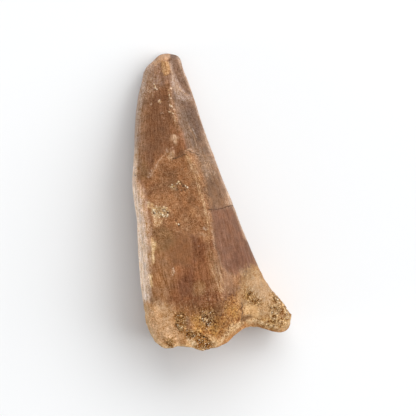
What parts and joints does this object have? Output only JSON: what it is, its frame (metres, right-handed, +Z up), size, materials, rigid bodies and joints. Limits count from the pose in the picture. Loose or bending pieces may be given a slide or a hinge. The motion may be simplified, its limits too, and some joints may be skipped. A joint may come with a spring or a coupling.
{
  "type": "fossil mosasaur tooth",
  "caption": "Pointed, slightly curved marine reptile tooth, fossilised, with a chipped tip, a ridged crown and a broken root that flares into a lobe; it lies on its inner side.",
  "frame": {"origin": "under the middle of the tooth's box, on the surface that it rests on", "axes": "+Y from the broken root to the tip, +X to the side where the root flares into a lobe, +Z up from the surface that it rests on"},
  "size_m": [0.0276, 0.0518, 0.0156],
  "materials": {
    "fossil_tooth": "satin"
  },
  "bodies": {
    "root": {"tooth": "fossil_tooth"}
  },
  "joints": []
}
